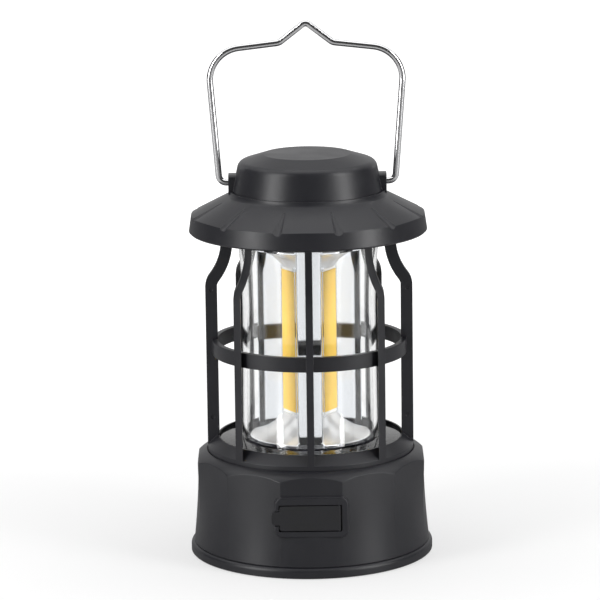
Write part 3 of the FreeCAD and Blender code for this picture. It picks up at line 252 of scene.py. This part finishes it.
def handling_group():
    """Faint rub marks and settled dust, as a mask that is mostly empty."""
    found = bpy.data.node_groups.get("handling_marks")
    if found:
        return found
    tree, into, out = new_group("handling_marks", [("Size", 240.0), ("Amount", 0.3)], ["Mask"])
    place = node(tree, "ShaderNodeTexCoord")
    specks = node(tree, "ShaderNodeTexVoronoi", feature="DISTANCE_TO_EDGE", Randomness=1.0)
    cloud = node(tree, "ShaderNodeTexNoise", Scale=35.0, Detail=5.0)
    join(tree, place.outputs["Object"], specks.inputs["Vector"])
    join(tree, place.outputs["Object"], cloud.inputs["Vector"])
    join(tree, into.outputs["Size"], specks.inputs["Scale"])
    thin = node(tree, "ShaderNodeMapRange", From_Min=0.05, From_Max=0.0)
    patch = node(tree, "ShaderNodeMapRange", From_Min=0.52, From_Max=0.75)
    join(tree, specks.outputs["Distance"], thin.inputs["Value"])
    join(tree, cloud.outputs["Fac"], patch.inputs["Value"])
    both = node(tree, "ShaderNodeMath", operation="MULTIPLY")
    scaled = node(tree, "ShaderNodeMath", operation="MULTIPLY")
    join(tree, thin.outputs["Result"], both.inputs[0])
    join(tree, patch.outputs["Result"], both.inputs[1])
    join(tree, both.outputs["Value"], scaled.inputs[0])
    join(tree, into.outputs["Amount"], scaled.inputs[1])
    join(tree, scaled.outputs["Value"], out.inputs["Mask"])
    return tree


def use_group(tree, group, **values):
    """Places a shader group in a tree, with its inputs set."""
    placed = tree.nodes.new("ShaderNodeGroup")
    placed.node_tree = group
    for key, value in values.items():
        placed.inputs[key].default_value = value
    return placed


def blend_colours(tree, mask, low, high, target):
    """Drives a colour input from one colour to another by a mask."""
    mix = node(tree, "ShaderNodeMix", data_type="RGBA")
    colours = [s for s in mix.inputs if s.type == "RGBA"]
    colours[0].default_value = rgba(low)
    colours[1].default_value = rgba(high)
    join(tree, mask, mix.inputs["Factor"])
    join(tree, [s for s in mix.outputs if s.type == "RGBA"][0], target)


def vary(tree, mask, target, low, high):
    """Drives an input from one value to another by a mask."""
    spread = node(tree, "ShaderNodeMapRange", To_Min=low, To_Max=high)
    join(tree, mask, spread.inputs["Value"])
    join(tree, spread.outputs["Result"], target)


def smooth_step(tree, value, ends, low=0.0, high=1.0):
    """Socket that eases from a low to a high value while another socket passes between two ends."""
    step = node(tree, "ShaderNodeMapRange", interpolation_type="SMOOTHSTEP", From_Min=ends[0],
                From_Max=ends[1], To_Min=low, To_Max=high)
    join(tree, value, step.inputs["Value"])
    return step.outputs["Result"]


def relief(tree, height, shader, strength, depth=GRAIN_DEPTH, edge=0.0):
    """Bump from a height, over edges that are rounded for the light by a radius."""
    bump = node(tree, "ShaderNodeBump", Strength=strength, Distance=depth)
    join(tree, height, bump.inputs["Height"])
    if edge > 0.0:
        rounded = node(tree, "ShaderNodeBevel", samples=6, Radius=edge)
        join(tree, rounded.outputs["Normal"], bump.inputs["Normal"])
    join(tree, bump.outputs["Normal"], shader.inputs["Normal"])


def moulded(name, low, high, rough, edge, grain=3200.0, strength=0.16):
    """Satin moulded plastic or rubber: mould grain, flow mottle and faint handling marks."""
    made, tree, shader = surface(name, low, rough, Specular_IOR_Level=0.5)
    texture = use_group(tree, grain_group(), Grain=grain, Mottle=60.0)
    marks = use_group(tree, handling_group(), Size=180.0, Amount=0.25)
    blend_colours(tree, texture.outputs["Tone"], low, high, shader.inputs["Base Color"])
    worn = node(tree, "ShaderNodeMath", operation="SUBTRACT", use_clamp=True)
    join(tree, texture.outputs["Tone"], worn.inputs[0])
    join(tree, marks.outputs["Mask"], worn.inputs[1])
    vary(tree, worn.outputs["Value"], shader.inputs["Roughness"],
         low=rough - MOULD_SPREAD, high=rough + MOULD_SPREAD)
    relief(tree, texture.outputs["Height"], shader, strength, edge=edge)
    return made


def metal(name, rgb, rough, grain, strength, stretch=(1.0, 1.0, 1.0)):
    """Bright metal with drawn or plated relief, stretched along its length."""
    made, tree, shader = surface(name, rgb, rough, Metallic=1.0)
    place = node(tree, "ShaderNodeTexCoord")
    turn = node(tree, "ShaderNodeMapping")
    turn.inputs["Scale"].default_value = stretch
    noise = node(tree, "ShaderNodeTexNoise", Scale=grain, Detail=3.0)
    join(tree, place.outputs["Object"], turn.inputs["Vector"])
    join(tree, turn.outputs["Vector"], noise.inputs["Vector"])
    marks = use_group(tree, handling_group(), Size=300.0, Amount=0.5)
    worn = node(tree, "ShaderNodeMath", operation="ADD", use_clamp=True)
    join(tree, noise.outputs["Fac"], worn.inputs[0])
    join(tree, marks.outputs["Mask"], worn.inputs[1])
    smoothest, dullest = PLATING_SPREAD
    vary(tree, worn.outputs["Value"], shader.inputs["Roughness"],
         low=rough * smoothest, high=rough * dullest)
    relief(tree, noise.outputs["Fac"], shader, strength, PLATING_DEPTH)
    return made


# Mesh helpers

def finish_mesh(name, shape, material, body, slot, *stands_for, smooth=35.0):
    """Turns a bmesh into a piece at the origin that rides on a body and stands for CAD nodes."""
    bmesh.ops.remove_doubles(shape, verts=shape.verts, dist=MERGE)
    bmesh.ops.recalc_face_normals(shape, faces=shape.faces)
    for edge in shape.edges:
        edge.smooth = len(edge.link_faces) < 2 or edge.calc_face_angle(0.0) < math.radians(smooth)
    for face in shape.faces:
        face.smooth = True
    mesh = bpy.data.meshes.new(name)
    shape.to_mesh(mesh)
    shape.free()
    mesh.materials.append(material)
    piece = bpy.data.objects.new(name, mesh)
    bpy.context.scene.collection.objects.link(piece)
    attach(piece, body)
    if stands_for:
        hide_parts(*stands_for)
    return piece


def spin_profile(shape, points, steps):
    """Closed profile of (radius, height) points spun once round the upright axis."""
    ring = [shape.verts.new((r, 0.0, z)) for r, z in points]
    edges = [shape.edges.new((a, b)) for a, b in zip(ring, ring[1:] + ring[:1])]
    bmesh.ops.spin(shape, geom=ring + edges, cent=(0, 0, 0), axis=(0, 0, 1), dvec=(0, 0, 0),
                   angle=2 * math.pi, steps=steps, use_merge=True, use_duplicate=False)
    bmesh.ops.remove_doubles(shape, verts=shape.verts, dist=MERGE)
    bmesh.ops.recalc_face_normals(shape, faces=shape.faces)


def round_edges(shape, edges, width, segments):
    """Rounds edges by a width, in a number of flats."""
    bmesh.ops.bevel(shape, geom=edges, offset=width, offset_type="OFFSET", affect="EDGES",
                    segments=segments, profile=0.5, material=-1, clamp_overlap=True)


def sharp_edges(shape, degrees):
    """Edges whose faces meet at more than an angle."""
    limit = math.radians(degrees)
    return [e for e in shape.edges if len(e.link_faces) == 2 and e.calc_face_angle(0.0) > limit]


def curve_between(start, through, end, steps):
    """Points on the parabola through three points, without its ends."""
    found = []
    for i in range(1, steps):
        t = i / steps
        weights = (2 * (t - 0.5) * (t - 1), -4 * t * (t - 1), 2 * t * (t - 0.5))
        found.append(tuple(sum(w * p[k] for w, p in zip(weights, (start, through, end)))
                           for k in (0, 1)))
    return found


def dress(material, *nodes):
    """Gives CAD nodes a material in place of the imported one."""
    for name in nodes:
        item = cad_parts[name]
        item.data.materials.clear()
        item.data.materials.append(material)


class LanternOperator:
    """Shared options of the lantern's operators."""

    bl_options = {"REGISTER", "UNDO"}


class LANTERN_OT_stage(LanternOperator, bpy.types.Operator):
    """Makes the floor, the lamps, the white room and the camera"""

    bl_idname = "lantern.stage"
    bl_label = "Studio"

    def lamp(self, name, size, power, place):
        """Area lamp of a width and height, turned to the lantern."""
        data = bpy.data.lights.new(name, "AREA")
        data.shape = "RECTANGLE"
        data.size, data.size_y = size
        data.energy = power
        made = bpy.data.objects.new(name, data)
        made.location = place
        made.rotation_euler = (Vector(LAMP_AIM) - Vector(place)).to_track_quat("-Z", "Y").to_euler()
        bpy.context.scene.collection.objects.link(made)
        return made

    def screen(self, lamp, *nodes):
        """Keeps a lamp's glare off some CAD nodes, as a black flag would."""
        flagged = bpy.data.collections.new("flag_" + lamp.name)
        lamp.light_linking.receiver_collection = flagged
        for name in nodes:
            flagged.objects.link(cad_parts[name])
        for item in flagged.collection_objects:
            item.light_linking.link_state = "EXCLUDE"

    def choose(self, tree, test, without, value):
        """Socket that gives the value where the test holds. Either may be a number or a socket."""
        pick = node(tree, "ShaderNodeMix", data_type="FLOAT")
        join(tree, test, pick.inputs[0])
        for slot, source in ((2, without), (3, value)):
            if isinstance(source, float):
                pick.inputs[slot].default_value = source
            else:
                join(tree, source, pick.inputs[slot])
        return pick.outputs[0]

    def room(self, studio):
        """White to the camera, with other tones for gloss, for the lens and for the fill."""
        world = bpy.data.worlds.new("white_room")
        world.use_nodes = True
        tree = world.node_tree
        light = node(tree, "ShaderNodeLightPath")
        place = node(tree, "ShaderNodeTexCoord")
        split = node(tree, "ShaderNodeSeparateXYZ")
        join(tree, place.outputs["Generated"], split.inputs["Vector"])
        wall = smooth_step(tree, split.outputs["Y"], GLOSS_TURN, studio.front_shade, studio.back_gloss)
        inside = smooth_step(tree, split.outputs["Y"], LENS_TURN, studio.lens_shade)
        strength = self.choose(tree, light.outputs["Is Glossy Ray"], studio.fill, wall)
        strength = self.choose(tree, light.outputs["Is Transmission Ray"], strength, inside)
        strength = self.choose(tree, light.outputs["Is Camera Ray"], strength, 1.0)
        join(tree, strength, tree.nodes["Background"].inputs["Strength"])
        tree.nodes["Background"].inputs["Color"].default_value = WHITE
        bpy.context.scene.world = world

    def floor(self, tones, studio):
        """Pale floor whose white takes a soft shadow close to the lantern and none far off."""
        material, tree, shader = surface("pale_floor", tones.floor, rough=0.7, Specular_IOR_Level=0.2)
        light = node(tree, "ShaderNodeLightPath")
        place = node(tree, "ShaderNodeTexCoord")
        away = node(tree, "ShaderNodeVectorMath", operation="LENGTH")
        join(tree, place.outputs["Object"], away.inputs[0])
        spread = smooth_step(tree, away.outputs["Value"], SHADOW_REACH, studio.foot_glow, studio.floor_glow)
        glow = self.choose(tree, light.outputs["Is Transmission Ray"], 0.0, studio.lens_glow)
        glow = self.choose(tree, light.outputs["Is Camera Ray"], glow, spread)
        join(tree, glow, shader.inputs["Emission Strength"])
        shader.inputs["Emission Color"].default_value = WHITE
        shape = bmesh.new()
        bmesh.ops.create_grid(shape, x_segments=1, y_segments=1, size=FLOOR_HALF)
        mesh = bpy.data.meshes.new("floor")
        shape.to_mesh(mesh)
        shape.free()
        mesh.materials.append(material)
        made = bpy.data.objects.new("floor", mesh)
        bpy.context.scene.collection.objects.link(made)

    def camera(self, studio):
        """Camera where the photograph was taken from."""
        data = bpy.data.cameras.new("photo_view")
        data.lens = studio.focal
        data.sensor_width = SENSOR_WIDTH
        data.clip_start, data.clip_end = CLIP_NEAR, CLIP_FAR
        made = bpy.data.objects.new("photo_view", data)
        turned = Matrix((CAMERA_RIGHT, CAMERA_UP, -Vector(CAMERA_AHEAD))).transposed().to_4x4()
        made.matrix_world = Matrix.Translation(CAMERA_PLACE) @ turned
        bpy.context.scene.collection.objects.link(made)
        bpy.context.scene.camera = made

    def execute(self, context):
        tones, _, studio = settings()
        context.scene.view_settings.view_transform = "Standard"
        self.room(studio)
        self.floor(tones, studio)
        left = self.lamp("lamp_left", SIDE_LAMP, studio.side_power, LEFT_PLACE)
        right = self.lamp("lamp_right", SIDE_LAMP, studio.side_power, RIGHT_PLACE)
        self.screen(left, "reflector")
        self.screen(right, "reflector")
        self.lamp("lamp_top", TOP_LAMP, studio.top_power, TOP_PLACE)
        self.camera(studio)
        return {"FINISHED"}


class LANTERN_OT_mouldings(LanternOperator, bpy.types.Operator):
    """Gives the black mouldings their satin mould texture"""

    bl_idname = "lantern.mouldings"
    bl_label = "Black mouldings"

    def execute(self, context):
        tones, sizes, _ = settings()
        satin = moulded("satin_black", tones.plastic, tones.plastic_pale, rough=0.40, edge=sizes.edge)
        dress(satin, *MOULDINGS)
        smooth = moulded("gloss_black", tones.plastic, tones.plastic_pale, rough=0.28, edge=sizes.edge,
                         grain=2400.0, strength=0.08)
        dress(smooth, "reflector_base", "power_button")
        return {"FINISHED"}


class LANTERN_OT_port(LanternOperator, bpy.types.Operator):
    """Gives the rubber port cover, the socket behind it and the seals their finish"""

    bl_idname = "lantern.port"
    bl_label = "Port cover and socket"

    def execute(self, context):
        tones, sizes, _ = settings()
        rubber = moulded("soft_rubber", tones.rubber, tones.plastic, rough=0.55, edge=sizes.edge,
                         grain=2200.0, strength=0.22)
        dress(rubber, "port_cover", "lens_seal")
        dress(metal("plated_steel", tones.steel, rough=0.25, grain=900.0, strength=0.05), "usb_socket")
        return {"FINISHED"}


class LANTERN_OT_lens(LanternOperator, bpy.types.Operator):
    """Builds the clear tube with its flange and flared mouth"""

    bl_idname = "lantern.lens"
    bl_label = "Clear lens"

    def profile(self, sizes):
        """Half section of the tube and its flange, as (radius, height) points."""
        low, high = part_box("lens")
        wall = sizes.lens_wall
        face = low.z + sizes.lens_flange
        rim = low.z + sizes.lens_rim
        flare = (sizes.lens_mouth - sizes.lens_waist) * FLARE_AT_MIDDLE
        middle = (sizes.lens_waist + flare, (sizes.lens_waist_height + high.z) / 2)
        outer = curve_between((sizes.lens_waist, sizes.lens_waist_height), middle,
                              (sizes.lens_mouth, high.z), FLARE_STEPS)
        inner = [(r - wall, z) for r, z in reversed(outer)]
        points = [(sizes.lens_foot - wall, low.z), (high.x, low.z), (high.x, rim), (sizes.lens_step, rim),
                  (sizes.lens_step, face), (sizes.lens_foot, face),
                  (sizes.lens_waist, sizes.lens_waist_height)]
        points += outer + [(sizes.lens_mouth, high.z), (sizes.lens_mouth - wall, high.z)]
        return points + inner + [(sizes.lens_waist - wall, sizes.lens_waist_height)]

    def clear(self, tones):
        """Clear moulding that lets the lamps' light through without a shadow."""
        made, tree, shader = surface("clear_styrene", tones.clear, rough=0.02, IOR=1.52,
                                     Transmission_Weight=1.0)
        marks = use_group(tree, handling_group(), Size=260.0, Amount=0.5)
        vary(tree, marks.outputs["Mask"], shader.inputs["Roughness"], low=0.015, high=0.12)
        ripple = use_group(tree, grain_group(), Grain=45.0, Mottle=20.0)
        relief(tree, ripple.outputs["Height"], shader, strength=0.06)
        light = node(tree, "ShaderNodeLightPath")
        through = node(tree, "ShaderNodeBsdfTransparent")
        pick = node(tree, "ShaderNodeMixShader")
        join(tree, light.outputs["Is Shadow Ray"], pick.inputs[0])
        join(tree, shader.outputs["BSDF"], pick.inputs[1])
        join(tree, through.outputs["BSDF"], pick.inputs[2])
        join(tree, pick.outputs["Shader"], tree.nodes["Material Output"].inputs["Surface"])
        return made

    def execute(self, context):
        tones, sizes, _ = settings()
        shape = bmesh.new()
        spin_profile(shape, self.profile(sizes), sizes.turns)
        round_edges(shape, sharp_edges(shape, degrees=40.0), sizes.lens_round, segments=3)
        finish_mesh("clear_lens", shape, self.clear(tones), "lantern", "clear_plastic", "lens", smooth=30.0)
        return {"FINISHED"}


class LANTERN_OT_reflector(LanternOperator, bpy.types.Operator):
    """Gives the three-armed reflector its metallised mirror finish"""

    bl_idname = "lantern.reflector"
    bl_label = "Reflector"

    def execute(self, context):
        tones = settings()[0]
        made, tree, shader = surface("metallised_mirror", tones.mirror, rough=0.10, Metallic=1.0)
        wave = use_group(tree, grain_group(), Grain=160.0, Mottle=50.0)
        facing = node(tree, "ShaderNodeNewGeometry")
        split = node(tree, "ShaderNodeSeparateXYZ")
        slope = node(tree, "ShaderNodeMath", operation="ABSOLUTE")
        join(tree, facing.outputs["Normal"], split.inputs["Vector"])
        join(tree, split.outputs["Z"], slope.inputs[0])
        trough = smooth_step(tree, slope.outputs["Value"], TROUGH_SLOPE)
        blend_colours(tree, trough, tones.mirror, tones.trough, shader.inputs["Base Color"])
        vary(tree, trough, shader.inputs["Roughness"], low=0.07, high=0.26)
        vary(tree, trough, shader.inputs["Metallic"], low=1.0, high=0.35)
        relief(tree, wave.outputs["Height"], shader, strength=0.10, depth=WAVE_DEPTH, edge=WAVE_EDGE)
        dress(made, "reflector")
        return {"FINISHED"}


class LANTERN_OT_lights(LanternOperator, bpy.types.Operator):
    """Builds the three phosphor light strips and finishes their boards"""

    bl_idname = "lantern.lights"
    bl_label = "Light strips"

    def gel(self, tones):
        """Silicone gel with phosphor grains."""
        made, tree, shader = surface("phosphor_gel", tones.phosphor, rough=0.42, Coat_Weight=0.25,
                                     Coat_Roughness=0.2, IOR=1.42)
        place = node(tree, "ShaderNodeTexCoord")
        grains = node(tree, "ShaderNodeTexVoronoi", Scale=2600.0)
        join(tree, place.outputs["Object"], grains.inputs["Vector"])
        cloud = use_group(tree, grain_group(), Grain=900.0, Mottle=160.0)
        dense = node(tree, "ShaderNodeMath", operation="MULTIPLY")
        join(tree, grains.outputs["Distance"], dense.inputs[0])
        join(tree, cloud.outputs["Tone"], dense.inputs[1])
        blend_colours(tree, dense.outputs["Value"], tones.phosphor, tones.phosphor_deep,
                      shader.inputs["Base Color"])
        relief(tree, cloud.outputs["Height"], shader, strength=0.12)
        return made

    def execute(self, context):
        tones, sizes, _ = settings()
        gel = self.gel(tones)
        low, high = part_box("led_strip_rear")
        middle = (low + high) / 2
        half_depth = (high.y - low.y) / 2
        for place, degrees in STRIPS:
            shape = bmesh.new()
            grown = bmesh.ops.create_cube(shape, size=1.0)
            bmesh.ops.scale(shape, vec=high - low, verts=grown["verts"])
            bmesh.ops.translate(shape, vec=middle, verts=grown["verts"])
            front = [e for e in shape.edges if all(v.co.y > middle.y for v in e.verts)]
            corners = [e for e in shape.edges if abs(e.verts[0].co.y - e.verts[1].co.y) > half_depth]
            round_edges(shape, front + corners, sizes.strip_crown, segments=4)
            bmesh.ops.rotate(shape, cent=(0, 0, 0), verts=shape.verts,
                             matrix=Matrix.Rotation(math.radians(degrees), 3, "Z"))
            finish_mesh("light_gel_" + place, shape, gel, "lantern", "phosphor", "led_strip_" + place,
                        smooth=50.0)
        board = moulded("white_board", tones.board_white, tones.mirror, rough=0.35, edge=FINE_EDGE,
                        grain=1800.0, strength=0.05)
        dress(board, *["led_board_" + place for place, _ in STRIPS])
        return {"FINISHED"}


class LANTERN_OT_bail(LanternOperator, bpy.types.Operator):
    """Gives the bent wire bail its bright chrome"""

    bl_idname = "lantern.bail"
    bl_label = "Bail"

    def execute(self, context):
        tones = settings()[0]
        wire = metal("chromed_wire", tones.chrome, rough=0.10, grain=700.0, strength=0.01,
                     stretch=(1.0, 1.0, 0.15))
        dress(wire, "bail")
        return {"FINISHED"}


class LANTERN_OT_feet(LanternOperator, bpy.types.Operator):
    """Builds the four rubber feet with their sunk middles"""

    bl_idname = "lantern.feet"
    bl_label = "Rubber feet"

    def execute(self, context):
        tones, sizes, _ = settings()
        low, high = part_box("foot_pads")
        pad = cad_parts["foot_pads"].data
        rear = [v.co for v in pad.vertices if v.co.y > abs(v.co.x) + PAD_CLEAR]
        radius = (max(c.x for c in rear) - min(c.x for c in rear)) / 2
        pitch = high.y - radius
        shape = bmesh.new()
        for i in range(FEET):
            grown = bmesh.ops.create_cone(shape, cap_ends=True, segments=64, radius1=radius,
                                          radius2=radius, depth=high.z - low.z)
            turn = Matrix.Rotation(i * math.tau / FEET, 3, "Z")
            spot = turn @ Vector((0.0, pitch, (low.z + high.z) / 2))
            bmesh.ops.translate(shape, vec=spot, verts=grown["verts"])
        soles = [f for f in shape.faces if f.normal.z < DOWNWARD]
        ring = [e for f in soles for e in f.edges]
        bmesh.ops.inset_individual(shape, faces=soles, thickness=sizes.foot_ring, depth=0.0)
        for sole in soles:
            bmesh.ops.translate(shape, vec=(0, 0, sizes.foot_sink), verts=sole.verts[:])
        round_edges(shape, ring, sizes.foot_round, segments=3)
        rubber = moulded("foot_rubber", tones.rubber, tones.plastic, rough=0.62, edge=FOOT_EDGE,
                         grain=1800.0, strength=0.25)
        finish_mesh("rubber_feet", shape, rubber, "lantern", "black_rubber", "foot_pads")
        return {"FINISHED"}


class LANTERN_OT_fixings(LanternOperator, bpy.types.Operator):
    """Gives the screws their zinc plating"""

    bl_idname = "lantern.fixings"
    bl_label = "Screws"

    def execute(self, context):
        tones = settings()[0]
        dress(metal("zinc_screw", tones.steel, rough=0.32, grain=1500.0, strength=0.08), *SCREWS)
        return {"FINISHED"}


class LANTERN_OT_electrics(LanternOperator, bpy.types.Operator):
    """Finishes the cell, the circuit boards, the switch and the leads"""

    bl_idname = "lantern.electrics"
    bl_label = "Electrics"

    def execute(self, context):
        tones = settings()[0]
        mask = moulded("circuit_mask", tones.board_green, tones.plastic, rough=0.32, edge=FINE_EDGE,
                       grain=1200.0, strength=0.08)
        wrap = moulded("cell_wrap", tones.cell, tones.plastic_pale, rough=0.30, edge=FINE_EDGE,
                       grain=500.0, strength=0.10)
        jacket = moulded("lead_jacket", tones.lead, tones.plastic, rough=0.45, edge=FINE_EDGE,
                         grain=2500.0, strength=0.10)
        case = moulded("switch_case", tones.switch, tones.plastic, rough=0.38, edge=FINE_EDGE)
        dress(mask, "control_board", "switch_board")
        dress(wrap, "battery_cell")
        dress(jacket, "battery_leads", "led_leads")
        dress(case, "switch_body", "switch_plunger")
        return {"FINISHED"}


class LANTERN_PT_panel(bpy.types.Panel):
    """Lists the lantern's pieces in the sidebar"""

    bl_idname = "LANTERN_PT_panel"
    bl_label = "Camping lantern"
    bl_space_type = "VIEW_3D"
    bl_region_type = "UI"
    bl_category = "Lantern"

    def draw(self, context):
        for operator in OPERATORS:
            self.layout.operator(operator.bl_idname)
        for group in settings():
            box = self.layout.box()
            for key in type(group).__annotations__:
                box.prop(group, key)


OPERATORS = (LANTERN_OT_stage, LANTERN_OT_mouldings, LANTERN_OT_port, LANTERN_OT_lens,
             LANTERN_OT_reflector, LANTERN_OT_lights, LANTERN_OT_bail, LANTERN_OT_feet,
             LANTERN_OT_fixings, LANTERN_OT_electrics)
GROUPS = {"lantern_colours": LanternColours, "lantern_sizes": LanternSizes, "lantern_studio": LanternStudio}
CLASSES = (*GROUPS.values(), *OPERATORS, LANTERN_PT_panel)


def register():
    for made in CLASSES:
        bpy.utils.register_class(made)
    for key, group in GROUPS.items():
        setattr(bpy.types.Scene, key, PointerProperty(type=group))


def unregister():
    for key in GROUPS:
        delattr(bpy.types.Scene, key)
    for made in reversed(CLASSES):
        bpy.utils.unregister_class(made)


def main():
    register()
    for operator in OPERATORS:
        area, name = operator.bl_idname.split(".")
        getattr(getattr(bpy.ops, area), name)()


if __name__ == "__main__":
    main()
